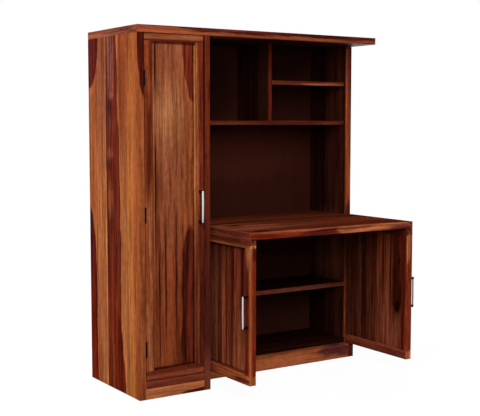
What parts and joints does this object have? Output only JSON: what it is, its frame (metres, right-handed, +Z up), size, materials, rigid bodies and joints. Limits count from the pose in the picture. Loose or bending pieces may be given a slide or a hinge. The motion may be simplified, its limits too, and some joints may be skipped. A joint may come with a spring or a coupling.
{
  "type": "study desk with bookshelf",
  "caption": "Wooden study unit with a narrow side wardrobe, an open bookshelf and a fold-down writing flap that rests on the opened cabinet doors.",
  "frame": {"origin": "on the floor, under the middle of the unit's box with the flap down and the cabinet doors open", "axes": "+Z up, -Y towards the person who sits at the desk, +X to that person's right"},
  "size_m": [1.394, 0.804, 1.676],
  "materials": {
    "golden_wood": "satin lacquered Indian rosewood, golden brown with dark streaks",
    "red_wood": "satin lacquered Indian rosewood, reddish brown heartwood",
    "dark_wood": "stained dark brown wood, satin",
    "beading_wood": "pale straight-grained moulding, satin lacquer",
    "black_steel": "black lacquered steel, semi-matt",
    "black_nylon": "moulded black nylon",
    "satin_steel": "satin chromed steel"
  },
  "bodies": {
    "carcass": {"bookshelf_divider": "golden_wood", "bookshelf_main_shelf": "red_wood", "bookshelf_small_shelf": "red_wood", "cabinet_catch": "black_nylon", "cabinet_floor": "dark_wood", "cabinet_shelf": "red_wood", "desk_back": "dark_wood", "desk_fixed_top": "golden_wood", "desk_plinth_front": "golden_wood", "desk_plinth_left": "red_wood", "desk_plinth_right": "red_wood", "desk_side_left": "red_wood", "desk_side_right": "red_wood", "flap_catch": "black_nylon", "flap_hinge_fixed_leaf": "black_steel", "flap_hinge_pin": "black_steel", "left_door_pivot_bottom": "black_steel", "left_door_pivot_top": "black_steel", "right_door_pivot_bottom": "black_steel", "right_door_pivot_top": "black_steel", "top_board": "golden_wood", "wardrobe_back": "dark_wood", "wardrobe_floor": "red_wood", "wardrobe_hinge_1_frame_leaf": "black_steel", "wardrobe_hinge_2_frame_leaf": "black_steel", "wardrobe_hinge_3_frame_leaf": "black_steel", "wardrobe_plinth": "golden_wood", "wardrobe_shelf_1": "dark_wood", "wardrobe_shelf_2": "dark_wood", "wardrobe_shelf_3": "dark_wood", "wardrobe_side_left": "golden_wood", "wardrobe_side_right": "red_wood"},
    "wardrobe_door": {"wardrobe_door_handle": "satin_steel", "wardrobe_door_moulding": "beading_wood", "wardrobe_door_panel": "red_wood", "wardrobe_door_rail_bottom": "red_wood", "wardrobe_door_rail_top": "red_wood", "wardrobe_door_stile_handle": "golden_wood", "wardrobe_door_stile_hinge": "golden_wood", "wardrobe_hinge_1_door_leaf": "black_steel", "wardrobe_hinge_2_door_leaf": "black_steel", "wardrobe_hinge_3_door_leaf": "black_steel"},
    "left_door": {"left_door_glide": "black_nylon", "left_door_handle": "satin_steel", "left_door_moulding": "beading_wood", "left_door_panel": "red_wood", "left_door_rail_bottom": "red_wood", "left_door_rail_top": "red_wood", "left_door_stile_handle": "golden_wood", "left_door_stile_hinge": "golden_wood"},
    "right_door": {"right_door_glide": "black_nylon", "right_door_handle": "satin_steel", "right_door_moulding": "beading_wood", "right_door_panel": "red_wood", "right_door_rail_bottom": "red_wood", "right_door_rail_top": "red_wood", "right_door_stile_handle": "golden_wood", "right_door_stile_hinge": "golden_wood"},
    "flap": {"flap_hinge_moving_leaf": "black_steel", "writing_flap": "golden_wood"}
  },
  "joints": [
    {"name": "wardrobe_door_hinge", "type": "hinge", "parent": "carcass", "child": "wardrobe_door", "pos_m": [-0.6625, -0.1118, 0.86265], "axis": [0, 0, -1], "range_deg": [0, 170]},
    {"name": "left_door_pivot", "type": "hinge", "parent": "carcass", "child": "left_door", "pos_m": [-0.2835, 0.0625, 0.401], "axis": [0, 0, 1], "range_deg": [0, 90]},
    {"name": "right_door_pivot", "type": "hinge", "parent": "carcass", "child": "right_door", "pos_m": [0.6465, 0.0625, 0.401], "axis": [0, 0, -1], "range_deg": [0, 90]},
    {"name": "flap_hinge", "type": "hinge", "parent": "carcass", "child": "flap", "pos_m": [0.1815, 0.078, 0.7608], "axis": [-1, 0, 0], "range_deg": [0, 90]}
  ]
}
